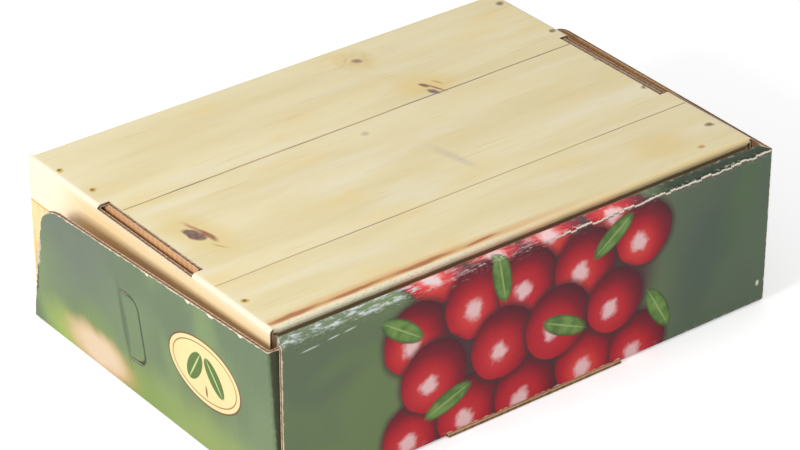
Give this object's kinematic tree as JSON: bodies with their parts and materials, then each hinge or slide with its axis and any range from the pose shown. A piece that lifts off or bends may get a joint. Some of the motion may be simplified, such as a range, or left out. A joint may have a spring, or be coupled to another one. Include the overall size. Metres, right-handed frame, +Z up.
{
  "type": "hinged-lid fruit tray box of printed corrugated board",
  "caption": "Shallow box folded from one printed corrugated sheet: a tray with rolled-over end walls and a hinged lid, standing upside down on the lid.",
  "frame": {"origin": "middle of the lid panel's outer face, which lies on the table", "axes": "+X along the long side, +Y from the lid's front wall towards the hinge, +Z up through the tray's base"},
  "size_m": [0.2602, 0.1764, 0.0732],
  "materials": {
    "lid_board": "satin print outside, kraft inside",
    "tray_board": "satin print outside, kraft inside"
  },
  "bodies": {
    "lid": {"lid": "lid_board"},
    "tray": {"tray": "tray_board"}
  },
  "joints": [
    {"name": "lid_hinge", "type": "hinge", "parent": "lid", "child": "tray", "pos_m": [0, 0.087, 0.00085], "axis": [-1, 0, 0], "range_deg": [0, 90]}
  ]
}
